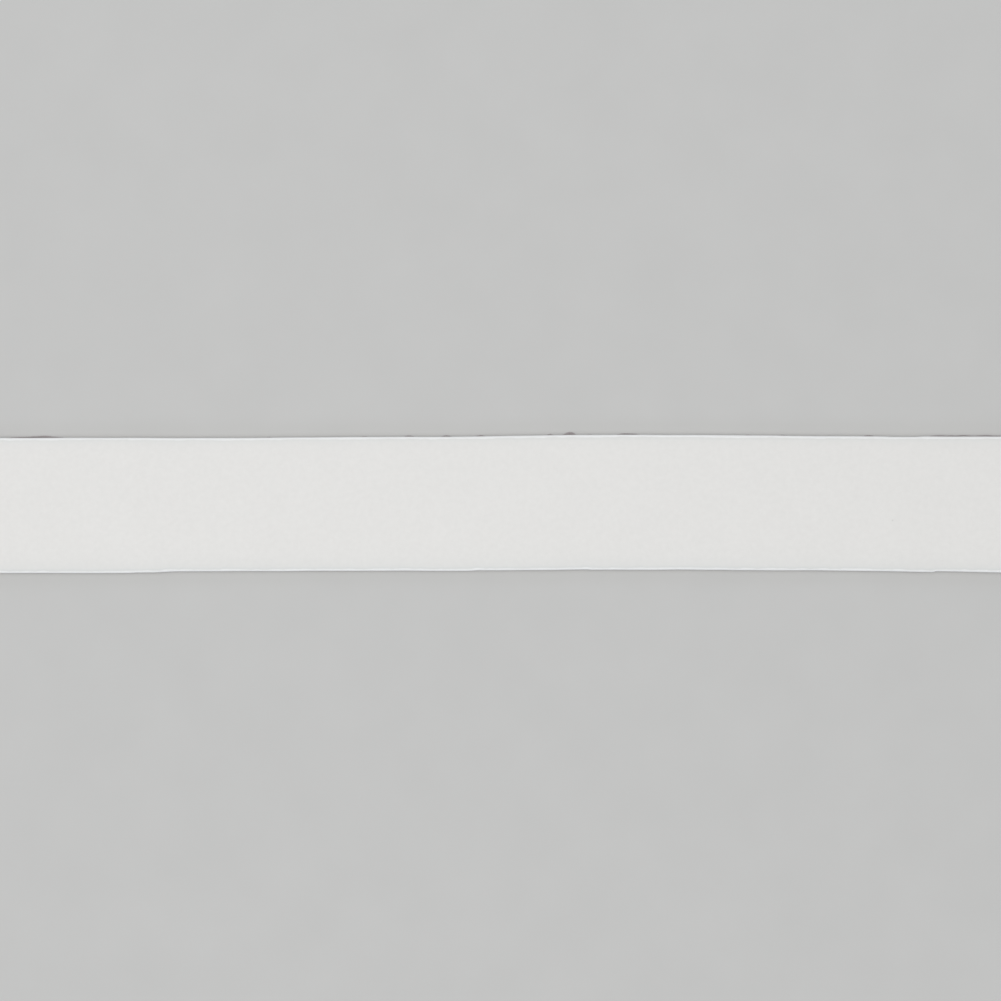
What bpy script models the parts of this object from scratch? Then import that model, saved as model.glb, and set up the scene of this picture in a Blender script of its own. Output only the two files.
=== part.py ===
"""A cut length of faux leather trim: coating, foam and cloth backing bonded into one flat strip.

X runs along the strip and Y across it. Z points up out of the coated face, and the cloth
backing lies at Z = 0. The origin is on the backing, under the middle of the outline.
"""

import math
from collections import namedtuple

import bmesh
import bpy
import numpy as np

# Sizes are in millimetres until the mesh is finished
METRES_PER_MM = 0.001

STRIP_LENGTH = 220.0
STRIP_WIDTH = 25.0
STRIP_THICKNESS = 1.2

# The long edges are cut by hand. Each row says how far the upper edge (+Y) and the lower
# edge (-Y) stray from their straight lines at that place along the strip.
EdgePoint = namedtuple("EdgePoint", "along upper lower")
EDGE_POINTS = (
    EdgePoint(-100, -0.34, -0.32),
    EdgePoint(-80, -0.29, -0.32),
    EdgePoint(-60, -0.33, -0.18),
    EdgePoint(-40, -0.25, -0.12),
    EdgePoint(-20, -0.10, -0.07),
    EdgePoint(0, 0.05, 0.02),
    EdgePoint(20, 0.29, 0.11),
    EdgePoint(40, 0.20, 0.07),
    EdgePoint(60, 0.05, -0.03),
    EdgePoint(80, -0.06, -0.28),
    EdgePoint(100, -0.04, -0.73),
)

# Where the knife drifted off its line, or was lifted and set down again, the edge steps
# sideways. The run is how long the step is: a drift is long, and a new start is short.
KnifeMark = namedtuple("KnifeMark", "edge along run step")
KNIFE_MARKS = (
    KnifeMark("upper", -16.0, 3.0, -0.05),
    KnifeMark("upper", 0.0, 6.0, 0.04),
    KnifeMark("upper", 71.5, 2.5, -0.09),
    KnifeMark("upper", 77.5, 2.0, 0.09),
    KnifeMark("lower", -75.5, 5.0, -0.04),
    KnifeMark("lower", -68.0, 1.6, 0.07),
    KnifeMark("lower", -62.0, 4.0, 0.13),
    KnifeMark("lower", -38.0, 5.0, 0.05),
    KnifeMark("lower", -23.0, 4.0, -0.04),
    KnifeMark("lower", -13.0, 9.0, -0.09),
    KnifeMark("lower", -4.9, 1.4, 0.11),
    KnifeMark("lower", 11.0, 5.0, 0.06),
    KnifeMark("lower", 16.3, 1.2, -0.08),
    KnifeMark("lower", 31.5, 4.0, 0.06),
    KnifeMark("lower", 42.5, 3.0, -0.06),
    KnifeMark("lower", 80.2, 0.7, 0.16),
)

# The hand's small wander, as waves along the cut. The turns say where each wave starts.
Wander = namedtuple("Wander", "wavelength amplitude upper_turn lower_turn")
WANDERS = (
    Wander(37.0, 0.020, 0.10, 0.60),
    Wander(13.0, 0.012, 0.35, 0.80),
)

# Section through a cut edge: the blade rounds the shoulder, and the face rolls down to it
SHOULDER_RADIUS = 0.30
ROLL_REACH = 3.5
ROLL_DROP = {"upper": 0.10, "lower": 0.16, "end": 0.10}

# Mesh density
STATION_PITCH = 2.5
CLOSEST_STATIONS = 0.03
SHOULDER_STEPS = 3
ROLL_STEPS = 3

FACE_COLOUR = "E4E4E2"
FACE_ROUGHNESS = 0.6


def clear_scene():
    for obj in list(bpy.data.objects):
        bpy.data.objects.remove(obj)


def linear_colour(srgb_hex):
    channels = [int(srgb_hex[i : i + 2], 16) / 255 for i in (0, 2, 4)]
    return [c / 12.92 if c <= 0.04045 else ((c + 0.055) / 1.055) ** 2.4 for c in channels] + [1.0]


def coated_face_material():
    """Matte off-white polyurethane coating."""
    material = bpy.data.materials.new("matte_off_white_coating")
    material.use_nodes = True
    shader = material.node_tree.nodes["Principled BSDF"]
    shader.inputs["Base Color"].default_value = linear_colour(FACE_COLOUR)
    shader.inputs["Roughness"].default_value = FACE_ROUGHNESS
    shader.inputs["Metallic"].default_value = 0.0
    return material


def smooth_curve(at, places, values):
    """A smooth curve through the values, read at one place, and straight past both ends."""
    slopes = np.gradient(values, places)
    if at <= places[0]:
        return values[0] + slopes[0] * (at - places[0])
    if at >= places[-1]:
        return values[-1] + slopes[-1] * (at - places[-1])
    left = int(np.searchsorted(places, at)) - 1
    span = places[left + 1] - places[left]
    t = (at - places[left]) / span
    ends = (1 - t) ** 2 * (1 + 2 * t) * values[left] + t**2 * (3 - 2 * t) * values[left + 1]
    leans = t * (1 - t) ** 2 * slopes[left] - t**2 * (1 - t) * slopes[left + 1]
    return ends + span * leans


def smooth_step(at, mark):
    t = min(max((at - mark.along) / mark.run + 0.5, 0.0), 1.0)
    return mark.step * t * t * (3 - 2 * t)


def edge_place(edge, along):
    """Y of a cut edge at a place along the strip."""
    straight = STRIP_WIDTH / 2 if edge == "upper" else -STRIP_WIDTH / 2
    stray = smooth_curve(
        along,
        np.array([point.along for point in EDGE_POINTS], float),
        np.array([getattr(point, edge) for point in EDGE_POINTS], float),
    )
    steps = sum(smooth_step(along, mark) for mark in KNIFE_MARKS if mark.edge == edge)
    waves = sum(
        wave.amplitude * math.sin(math.tau * (along / wave.wavelength + getattr(wave, edge + "_turn")))
        for wave in WANDERS
    )
    return straight + stray + steps + waves


def inward_steps():
    """Distances in from a cut edge: round the shoulder, then across the roll."""
    turns = np.linspace(0, math.pi / 2, SHOULDER_STEPS + 1)
    shoulder = SHOULDER_RADIUS * (1 - np.cos(turns))
    roll = np.linspace(SHOULDER_RADIUS, ROLL_REACH, ROLL_STEPS + 1)[1:]
    return np.concatenate([shoulder, roll])


def stations_along():
    """Places along the strip that carry a row of points, closer at the ends and knife marks."""
    from_end = inward_steps()
    inner = STRIP_LENGTH / 2 - ROLL_REACH
    even = np.linspace(-inner, inner, round(2 * inner / STATION_PITCH) + 1)
    marks = [mark.along + mark.run * part for mark in KNIFE_MARKS for part in (-0.5, -0.2, 0.2, 0.5)]
    wanted = sorted([*(from_end - STRIP_LENGTH / 2), *(STRIP_LENGTH / 2 - from_end), *even, *marks])
    kept = wanted[:1]
    for place in wanted[1:]:
        if place - kept[-1] > CLOSEST_STATIONS:
            kept.append(place)
    return kept


def fall(inward, edge):
    """How far the face lies below its full height, at a distance in from a cut edge."""
    round_part = max(SHOULDER_RADIUS - inward, 0.0)
    shoulder = SHOULDER_RADIUS - math.sqrt(SHOULDER_RADIUS**2 - round_part**2)
    roll = ROLL_DROP[edge] * max(1 - inward / ROLL_REACH, 0.0) ** 2
    return shoulder + roll


def face_height(along, across, lower, upper):
    from_end = STRIP_LENGTH / 2 - abs(along)
    falls = (
        fall(max(from_end, 0.0), "end"),
        fall(max(upper - across, 0.0), "upper"),
        fall(max(across - lower, 0.0), "lower"),
    )
    return STRIP_THICKNESS - max(falls)


def unit_slab(columns, lanes):
    """A closed slab of one layer, from 0 to 1 each way, with a grid of faces on its top and bottom."""
    slab = bmesh.new()
    bmesh.ops.create_grid(slab, x_segments=columns - 1, y_segments=lanes - 1, size=0.5)
    bmesh.ops.translate(slab, verts=slab.verts, vec=(0.5, 0.5, 0.0))
    raised = bmesh.ops.extrude_face_region(slab, geom=slab.faces[:], use_keep_orig=True)
    lifted = [item for item in raised["geom"] if isinstance(item, bmesh.types.BMVert)]
    bmesh.ops.translate(slab, verts=lifted, vec=(0.0, 0.0, 1.0))
    return slab


def clear_underside_lanes(slab):
    """The underside is flat, so its faces can span the strip's whole width."""
    inner = [
        edge
        for edge in slab.edges
        if all(vert.co.z == 0.0 for vert in edge.verts)
        and edge.verts[0].co.x != edge.verts[1].co.x
        and all(abs(vert.co.y - 0.5) < 0.5 - 1e-6 for vert in edge.verts)
    ]
    bmesh.ops.dissolve_edges(slab, edges=inner, use_verts=True)


def build_strip():
    along = stations_along()
    inward = inward_steps()
    lower_edge = [edge_place("lower", place) for place in along]
    upper_edge = [edge_place("upper", place) for place in along]
    middle = (max(upper_edge) + min(lower_edge)) / 2

    lanes = 2 * len(inward) + 1
    slab = unit_slab(len(along), lanes)
    clear_underside_lanes(slab)
    for vert in slab.verts:
        column = round(vert.co.x * (len(along) - 1))
        lane = round(vert.co.y * (lanes - 1))
        x, lower, upper = along[column], lower_edge[column], upper_edge[column]
        if lane < len(inward):
            y = lower + inward[lane]
        elif lane > len(inward):
            y = upper - inward[lanes - 1 - lane]
        else:
            y = (lower + upper) / 2
        z = face_height(x, y, lower, upper) if vert.co.z > 0.5 else 0.0
        vert.co = (x, y - middle, z)

    bmesh.ops.scale(slab, verts=slab.verts, vec=(METRES_PER_MM,) * 3)
    bmesh.ops.recalc_face_normals(slab, faces=slab.faces)
    mesh = bpy.data.meshes.new("trim_strip")
    slab.to_mesh(mesh)
    slab.free()
    mesh.shade_smooth()
    mesh.set_sharp_from_angle(angle=math.radians(40))
    mesh.materials.append(coated_face_material())
    strip = bpy.data.objects.new("trim_strip", mesh)
    bpy.context.scene.collection.objects.link(strip)


clear_scene()
build_strip()
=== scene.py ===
# %% [markdown]
# # A strip of faux leather trim
#
# Faux leather is cloth with a skin. The mill coats a woven cloth with a soft polyurethane foam
# and a thin, dense colour coat, bonds the three together, and cuts the wide web into trims.
# This notebook dresses a plain solid of such a strip: the coating, the foam under it, the woven
# backing, and the few yarns and fibres that the knife left hanging out at one long edge.
#
# Everything is in metres. X runs along the strip, Y across it, and the floor is at Z = 0.

# %% Load the frame
import math

import bpy
import numpy as np
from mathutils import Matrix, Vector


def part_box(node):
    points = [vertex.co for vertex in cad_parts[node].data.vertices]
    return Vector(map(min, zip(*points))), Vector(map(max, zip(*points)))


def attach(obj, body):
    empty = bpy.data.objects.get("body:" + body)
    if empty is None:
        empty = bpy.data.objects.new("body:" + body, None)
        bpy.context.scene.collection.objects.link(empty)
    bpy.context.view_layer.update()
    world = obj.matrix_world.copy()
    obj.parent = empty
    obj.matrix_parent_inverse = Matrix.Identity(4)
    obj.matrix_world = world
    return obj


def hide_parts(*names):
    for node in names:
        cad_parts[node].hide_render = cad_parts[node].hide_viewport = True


MM = 0.001
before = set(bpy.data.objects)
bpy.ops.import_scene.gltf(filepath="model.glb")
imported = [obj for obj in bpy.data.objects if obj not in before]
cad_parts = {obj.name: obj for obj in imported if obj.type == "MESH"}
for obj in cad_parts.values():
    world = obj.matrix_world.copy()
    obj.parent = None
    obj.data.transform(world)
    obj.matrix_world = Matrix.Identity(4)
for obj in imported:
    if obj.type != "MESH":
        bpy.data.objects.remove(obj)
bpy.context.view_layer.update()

# %% [markdown]
# ## The two cuts
#
# Every layer of the strip ends at the same two knife cuts, so the cuts are the first thing to
# settle. They could be drawn again by hand, but the solid already holds them: they are the
# outline of its underside. Reading them from there keeps every layer on the solid's edge.

# %% Read the cuts from the solid
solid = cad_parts["trim_strip"]
_, box_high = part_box("trim_strip")
half_length = box_high.x
face_height = box_high.z
UNDERSIDE_WITHIN = 0.001 * MM
# Decimals of a metre that tell one place along the strip from the next
PLACE_DECIMALS = 6


def cut_outline(side):
    """The underside's outline on one side (-1 is the lower cut, +1 the upper), as rows of x and y."""
    points = np.array([vert.co for vert in solid.data.vertices])
    rim = points[(points[:, 2] < UNDERSIDE_WITHIN) & (points[:, 1] * side > 0)]
    outermost = {}
    for x, y, _ in rim:
        key = round(float(x), PLACE_DECIMALS)
        outermost[key] = max(outermost.get(key, 0.0), float(y) * side)
    return np.array([[x, outermost[x] * side] for x in sorted(outermost)])


lower_outline, upper_outline = cut_outline(-1), cut_outline(1)
print("points on the lower and upper cut:", len(lower_outline), len(upper_outline))

# %% [markdown]
# ## The camera
#
# The photo looks straight down on the face, so the camera hangs over the strip. A long lens from
# half a metre away keeps the two cuts parallel, as they are in the photo. The strip is 135.4 of
# the photo's 1001 pixels wide and 25 mm wide in real life, and that ratio sets how much of it
# the frame shows. The strip's middle lies 3.3 pixels below the middle of the photo.

# %% Hang the camera over the strip
PHOTO_PIXELS = 1001
STRIP_WIDTH_PIXELS = 135.4
STRIP_BELOW_MIDDLE_PIXELS = 3.3
STRIP_WIDTH = 25 * MM
LENS_MM = 100
SENSOR_MM = 36

metres_per_pixel = STRIP_WIDTH / STRIP_WIDTH_PIXELS
view_width = PHOTO_PIXELS * metres_per_pixel
seen = np.linspace(-view_width / 2, view_width / 2, PHOTO_PIXELS)
strip_middle = (np.interp(seen, *lower_outline.T) + np.interp(seen, *upper_outline.T)).mean() / 2

camera = bpy.data.objects.new("camera", bpy.data.cameras.new("camera"))
camera.data.lens = LENS_MM
camera.data.sensor_width = SENSOR_MM
camera.location = (
    0,
    strip_middle + STRIP_BELOW_MIDDLE_PIXELS * metres_per_pixel,
    face_height + view_width * LENS_MM / SENSOR_MM,
)
bpy.context.scene.collection.objects.link(camera)
bpy.context.scene.camera = camera
print(f"the frame is {view_width / MM:.1f} mm wide, seen from {camera.location.z / MM:.0f} mm up")

# %% [markdown]
# ## Nodes, colours and the floor
#
# Every material and every Geometry Nodes tree below is wired by one small function, `add`. It
# makes a node, sets its options, and fills each input with a number or with a link. Colours are
# written as the sRGB hex values that a paint program shows, and turned to the linear values that
# the renderer mixes light with.

# %% Helpers for materials
def linear(srgb_hex):
    """An sRGB hex colour as linear red, green, blue and alpha."""
    channels = [int(srgb_hex[start : start + 2], 16) / 255 for start in (0, 2, 4)]
    return [c / 12.92 if c <= 0.04045 else ((c + 0.055) / 1.055) ** 2.4 for c in channels] + [1]


def add(tree, kind, sockets=None, **settings):
    """A new node. sockets says what each input, by name or number, reads: a node, an output or a value."""
    node = tree.nodes.new(kind)
    for name, value in settings.items():
        setattr(node, name, value)
    for socket, source in (sockets or {}).items():
        if isinstance(source, bpy.types.Node):
            source = source.outputs[0]
        if isinstance(source, bpy.types.NodeSocket):
            tree.links.new(source, node.inputs[socket])
        else:
            node.inputs[socket].default_value = source
    return node


def new_material(name, **shader_values):
    """A material with one Principled BSDF, and the tree and shader to wire the rest to."""
    material = bpy.data.materials.new(name)
    material.use_nodes = True
    tree = material.node_tree
    shader = tree.nodes["Principled BSDF"]
    for socket, value in shader_values.items():
        shader.inputs[socket.replace("_", " ")].default_value = value
    return material, tree, shader


print("mid grey, 808080, in linear light:", round(linear("808080")[0], 3))

# %% [markdown]
# The floor is a sheet of pale matt card, a little darker than the strip, so that the off-white
# trim and its thin contact shadow both read. Card is pressed fibre: nearly flat in tone, with a
# faint mottle about a centimetre across.

# %% Lay the floor
FLOOR_SIZE = 6.0
FLOOR_BELOW = 0.01 * MM
CARD_LIGHT, CARD_DARK = "CACAC9", "C5C5C4"
CARD_MOTTLE = 12 * MM


def matt_card():
    material, tree, shader = new_material("matt_card", Roughness=0.9, IOR=1.45)
    place = add(tree, "ShaderNodeTexCoord").outputs["Object"]
    mottle = add(tree, "ShaderNodeTexNoise", {"Vector": place, "Scale": 1 / CARD_MOTTLE, "Detail": 3.0})
    sockets = {0: mottle, 6: linear(CARD_DARK), 7: linear(CARD_LIGHT)}
    colour = add(tree, "ShaderNodeMix", sockets, data_type="RGBA").outputs[2]
    tree.links.new(colour, shader.inputs["Base Color"])
    return material


floor_mesh = bpy.data.meshes.new("floor")
sides = ((-1, -1), (1, -1), (1, 1), (-1, 1))
corners = [(x * FLOOR_SIZE / 2, y * FLOOR_SIZE / 2, -FLOOR_BELOW) for x, y in sides]
floor_mesh.from_pydata(corners, [], [(0, 1, 2, 3)])
floor_mesh.materials.append(matt_card())
floor = bpy.data.objects.new("floor", floor_mesh)
bpy.context.scene.collection.objects.link(floor)
print(f"floor: {floor_mesh.materials[0].name}, {FLOOR_SIZE:.0f} m square")

# %% [markdown]
# ## Light
#
# The photo's light is soft and even. It fades a little towards the right, so the softbox hangs
# low and left of the middle. The rounded shoulders of both cuts catch a thin, cool, bright line,
# which asks for a low, long lamp beyond each edge. A very wide sun stands in for a lit ceiling
# and keeps the floor pale far behind the strip, and a pale surround fills the rest.

# %% Hang the lamps
# The cool bright line on each shoulder comes from these lamps and also from a painted highlight in the
# coating's colour
LAMPS = {
    # name: place (x, y, z), size (along, across), watts, colour
    "low_softbox": ((-0.11, 0.0, 0.62), (0.3, 0.3), 0.82, "FFFFFF"),
    "far_strip_lamp": ((0.0, 0.85, 0.30), (0.9, 0.2), 1.0, "EAF1FF"),
    "near_strip_lamp": ((0.0, -0.85, 0.30), (0.9, 0.2), 1.0, "EAF1FF"),
}
CEILING_STRENGTH = 1.0
CEILING_WIDTH = math.radians(80)
SURROUND_COLOUR = "FAFAF8"
SURROUND_STRENGTH = 0.40

for name, (place, (along, across), watts, colour) in LAMPS.items():
    lamp = bpy.data.lights.new(name, "AREA")
    lamp.shape = "RECTANGLE"
    lamp.size, lamp.size_y = along, across
    lamp.energy = watts
    lamp.color = linear(colour)[:3]
    hung = bpy.data.objects.new(name, lamp)
    hung.location = place
    away = hung.location.normalized()
    hung.rotation_mode = "QUATERNION"
    hung.rotation_quaternion = away.to_track_quat("Z", "Y")
    bpy.context.scene.collection.objects.link(hung)

ceiling = bpy.data.lights.new("lit_ceiling", "SUN")
ceiling.energy = CEILING_STRENGTH
ceiling.angle = CEILING_WIDTH
bpy.context.scene.collection.objects.link(bpy.data.objects.new("lit_ceiling", ceiling))

world = bpy.data.worlds.new("pale_surround")
world.use_nodes = True
surround = world.node_tree.nodes["Background"]
surround.inputs["Color"].default_value = linear(SURROUND_COLOUR)
surround.inputs["Strength"].default_value = SURROUND_STRENGTH
bpy.context.scene.world = world
bpy.context.scene.view_settings.view_transform = "Standard"
print("lamps:", ", ".join(LAMPS), "and a lit ceiling")

# %% [markdown]
# ## Guides for Geometry Nodes
#
# The layers are all swept along the same two cuts, so the cuts become two guide curves with a
# point every half millimetre. Near the ends and at the knife's sharp step the points stand
# closer. A guide's height is not its place: it says how far the face has rolled down there,
# which is nothing except at the two square-cut ends. The cloth below doesn't roll, so it gets a
# level pair of the same lines.

# %% Say how the face falls away towards a cut
SHOULDER_RADIUS = 0.30 * MM
ROLL_REACH = 3.5 * MM
ROLL_DROP = {"lower": 0.16 * MM, "upper": 0.10 * MM, "end": 0.10 * MM}
# How many steps of the face go round the shoulder, and how many on across the roll
FACE_STEPS = (6, 7)


def fall(inward, edge):
    """How far the face lies below its full height, at a distance in from a cut."""
    round_part = max(SHOULDER_RADIUS - inward, 0)
    shoulder = SHOULDER_RADIUS - math.sqrt(SHOULDER_RADIUS**2 - round_part**2)
    return shoulder + ROLL_DROP[edge] * max(1 - inward / ROLL_REACH, 0) ** 2


def inward_steps(shoulder_steps, roll_steps):
    """Distances in from a cut: round the shoulder, then out across the roll."""
    turns = np.linspace(0, math.pi / 2, shoulder_steps + 1)
    roll = np.linspace(SHOULDER_RADIUS, ROLL_REACH, roll_steps + 1)[1:]
    return np.concatenate([SHOULDER_RADIUS * (1 - np.cos(turns)), roll])


print("fall at each cut in mm:", {edge: round(fall(0, edge) / MM, 2) for edge in ROLL_DROP})

# %% Draw the two cuts as guide curves
POINT_PITCH = 0.5 * MM
CLOSEST_POINTS = 0.004 * MM
KNIFE_STEP_AT = 80.2 * MM
KNIFE_STEP_REACH = 0.8 * MM
KNIFE_STEP_PITCH = 0.1 * MM
guides = []


def guide_curve(name, splines, closed=False):
    """A curve of straight runs, which only Geometry Nodes reads. It is thrown away at the end."""
    curve = bpy.data.curves.new(name, "CURVE")
    curve.dimensions = "3D"
    for points in splines:
        spline = curve.splines.new("POLY")
        spline.points.add(len(points) - 1)
        spline.points.foreach_set("co", np.column_stack([points, np.ones(len(points))]).ravel())
        spline.use_cyclic_u = closed
    guide = bpy.data.objects.new(name, curve)
    guide.hide_render = True
    bpy.context.scene.collection.objects.link(guide)
    guides.append(guide)
    return guide


def stations():
    """Places along the strip that carry a row of points."""
    from_end = inward_steps(*FACE_STEPS)
    even = np.arange(-half_length + ROLL_REACH, half_length - ROLL_REACH, POINT_PITCH)
    step = np.arange(-KNIFE_STEP_REACH, KNIFE_STEP_REACH, KNIFE_STEP_PITCH) + KNIFE_STEP_AT
    places = np.sort(np.concatenate([from_end - half_length, even, step, half_length - from_end]))
    apart = np.diff(places) > CLOSEST_POINTS
    kept = np.concatenate([[True], apart[:-1], [True]])
    return places[kept]


along = stations()
end_falls = np.array([fall(max(half_length - abs(x), 0), "end") for x in along])
lower_y = np.interp(along, *lower_outline.T)
upper_y = np.interp(along, *upper_outline.T)
lower_cut = guide_curve("lower_cut", [np.column_stack([along, lower_y, -end_falls])])
upper_cut = guide_curve("upper_cut", [np.column_stack([along, upper_y, -end_falls])])
level = np.zeros(len(along))
lower_line = guide_curve("lower_line", [np.column_stack([along, lower_y, level])])
upper_line = guide_curve("upper_line", [np.column_stack([along, upper_y, level])])
print("guide points on each cut:", len(along))

# %% [markdown]
# A geometry tree is built by script in the same way each time: its inputs are declared with
# plain names, its nodes are wired by `add`, and it ends in Realize Instances and Set Material.
# `grow` hangs a tree on an empty mesh, reads what it makes, and keeps that as a plain mesh, so
# no modifier is left on any piece.

# %% Helpers for geometry trees
SOCKET_KINDS = {
    "object": "NodeSocketObject",
    "number": "NodeSocketFloat",
    "count": "NodeSocketInt",
    "switch": "NodeSocketBool",
    "material": "NodeSocketMaterial",
}
SHARP_FROM = math.radians(70)
pieces = {}


def new_tree(name, inputs):
    """An empty geometry tree with named inputs, listed by kind, and those inputs."""
    tree = bpy.data.node_groups.new(name, "GeometryNodeTree")
    for kind, labels in inputs.items():
        for label in labels:
            tree.interface.new_socket(name=label, in_out="INPUT", socket_type=SOCKET_KINDS[kind])
    tree.interface.new_socket(name="Geometry", in_out="OUTPUT", socket_type="NodeSocketGeometry")
    print(f"{name} takes:", ", ".join(label for labels in inputs.values() for label in labels))
    return tree, add(tree, "NodeGroupInput").outputs


def end_tree(tree, geometry, material):
    """Realizes what the tree made, gives it its material, and hands it out."""
    real = add(tree, "GeometryNodeRealizeInstances", {"Geometry": geometry})
    painted = add(tree, "GeometryNodeSetMaterial", {"Geometry": real, "Material": material})
    add(tree, "NodeGroupOutput", {"Geometry": painted})


def grow(name, tree, values):
    """Runs a tree with these input values and keeps what it makes as a plain mesh piece."""
    host = bpy.data.objects.new(name + "_host", bpy.data.meshes.new(name + "_host"))
    bpy.context.scene.collection.objects.link(host)
    modifier = host.modifiers.new("grow", "NODES")
    modifier.node_group = tree
    for item in tree.interface.items_tree:
        if item.in_out == "INPUT":
            modifier[item.identifier] = values[item.name]
    graph = bpy.context.evaluated_depsgraph_get()
    mesh = bpy.data.meshes.new_from_object(host.evaluated_get(graph), depsgraph=graph)
    bpy.data.objects.remove(host)
    for guide_name in [item.name for item in mesh.attributes if item.name.startswith("guide.")]:
        mesh.attributes.remove(mesh.attributes[guide_name])
    mesh.name = name
    mesh.shade_smooth()
    mesh.set_sharp_from_angle(angle=SHARP_FROM)
    pieces[name] = bpy.data.objects.new(name, mesh)
    bpy.context.scene.collection.objects.link(pieces[name])
    mesh.calc_loop_triangles()
    print(f"{name}: {len(mesh.loop_triangles)} triangles")


# %% [markdown]
# ## The sweep
#
# A layer of the strip is one section, drawn across the strip, swept from end to end between two
# cuts that are not quite parallel. Extruding the outline would give square corners, and a lattice
# would blur the knife's step. So a short Geometry Nodes tree does the sweep: Curve to Mesh makes
# the closed tube with its ends filled, and Set Position then slides each of its points between
# the two cuts. A section point holds three numbers: how far across it lies, from 0 at the lower
# cut to 1 at the upper one, its height, and the most that its height may be, which the falls at
# the strip's two ends bring down.

# %% Sweep a section along the lower cut
SWEEP_INPUTS = {
    "object": ("Lower cut", "Upper cut", "Section"),
    "number": ("Swell height", "Swell size", "Cut roughness", "Cut grain", "Seed"),
    "material": ("Material",),
}
CARRIED = ("guide.lower", "guide.upper", "guide.section")


def swept_tube(tree, given):
    """The section swept along the lower cut, each point knowing both cuts and its section point."""
    lower, upper, section = (
        add(tree, "GeometryNodeObjectInfo", {"Object": given[name]}).outputs["Geometry"]
        for name in ("Lower cut", "Upper cut", "Section")
    )
    here = add(tree, "GeometryNodeInputPosition")
    same_point = {"Geometry": upper, "Value": here, "Index": add(tree, "GeometryNodeInputIndex")}
    opposite = add(tree, "GeometryNodeSampleIndex", same_point, data_type="FLOAT_VECTOR")
    sockets = {"Geometry": lower, "Name": "guide.lower", "Value": here}
    path = add(tree, "GeometryNodeStoreNamedAttribute", sockets, data_type="FLOAT_VECTOR")
    sockets = {"Geometry": path, "Name": "guide.upper", "Value": opposite}
    path = add(tree, "GeometryNodeStoreNamedAttribute", sockets, data_type="FLOAT_VECTOR")
    sockets = {"Geometry": section, "Name": "guide.section", "Value": here}
    profile = add(tree, "GeometryNodeStoreNamedAttribute", sockets, data_type="FLOAT_VECTOR")
    sockets = {"Curve": path, "Profile Curve": profile, "Fill Caps": True}
    tube = add(tree, "GeometryNodeCurveToMesh", sockets)
    carried = [
        add(tree, "GeometryNodeInputNamedAttribute", {"Name": name}, data_type="FLOAT_VECTOR")
        for name in CARRIED
    ]
    return tube, *carried


# %% [markdown]
# Two small irregularities go on top. The sheet has soft, low swells, a few centimetres across,
# because it was unrolled from a big roll. And the blade drags, so the walls that it leaves
# wander in and out by hundredths of a millimetre. Both are noise, read at the point's own place
# on the strip, and both die away where they don't belong: the swells towards the underside,
# which lies flat, and the drag away from the cuts.

# %% Place the points of a swept layer
# How far from the strip's middle a cut lies, and where its wall begins, as shares of the width
CUT_AT = 0.5
WALL_STARTS_AT = 0.48


def noise_about_zero(tree, spot, size, detail):
    """Smooth noise that wanders about zero, in patches of this size."""
    scale = add(tree, "ShaderNodeMath", {0: 1.0, 1: size}, operation="DIVIDE")
    noise = add(tree, "ShaderNodeTexNoise", {"Vector": spot, "Scale": scale, "Detail": detail})
    return add(tree, "ShaderNodeMath", {0: noise, 1: 0.5}, operation="SUBTRACT")


def swollen_height(tree, given, spot, height):
    """The height with the sheet's swells, which are full at the face and gone at the floor."""
    noise = noise_about_zero(tree, spot, given["Swell size"], 1.0)
    share = add(tree, "ShaderNodeMath", {0: height, 1: face_height}, operation="DIVIDE")
    swell = add(tree, "ShaderNodeMath", {0: noise, 1: share}, operation="MULTIPLY")
    sockets = {0: swell, 1: given["Swell height"], 2: height}
    return add(tree, "ShaderNodeMath", sockets, operation="MULTIPLY_ADD")


def dragged_place(tree, given, x, y, across, height):
    """Y with the blade's drag, which only the walls have."""
    side = add(tree, "ShaderNodeMath", {0: across, 1: given["Seed"]}, operation="ADD")
    spot = add(tree, "ShaderNodeCombineXYZ", {"X": x, "Y": side, "Z": height})
    noise = noise_about_zero(tree, spot, given["Cut grain"], 2.0)
    from_middle = add(tree, "ShaderNodeMath", {0: across, 1: CUT_AT}, operation="SUBTRACT")
    towards_cut = add(tree, "ShaderNodeMath", {0: from_middle}, operation="ABSOLUTE")
    sockets = {"Value": towards_cut, "From Min": WALL_STARTS_AT, "From Max": CUT_AT}
    at_wall = add(tree, "ShaderNodeMapRange", sockets)
    drag = add(tree, "ShaderNodeMath", {0: noise, 1: at_wall}, operation="MULTIPLY")
    sockets = {0: drag, 1: given["Cut roughness"], 2: y}
    return add(tree, "ShaderNodeMath", sockets, operation="MULTIPLY_ADD")


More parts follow.
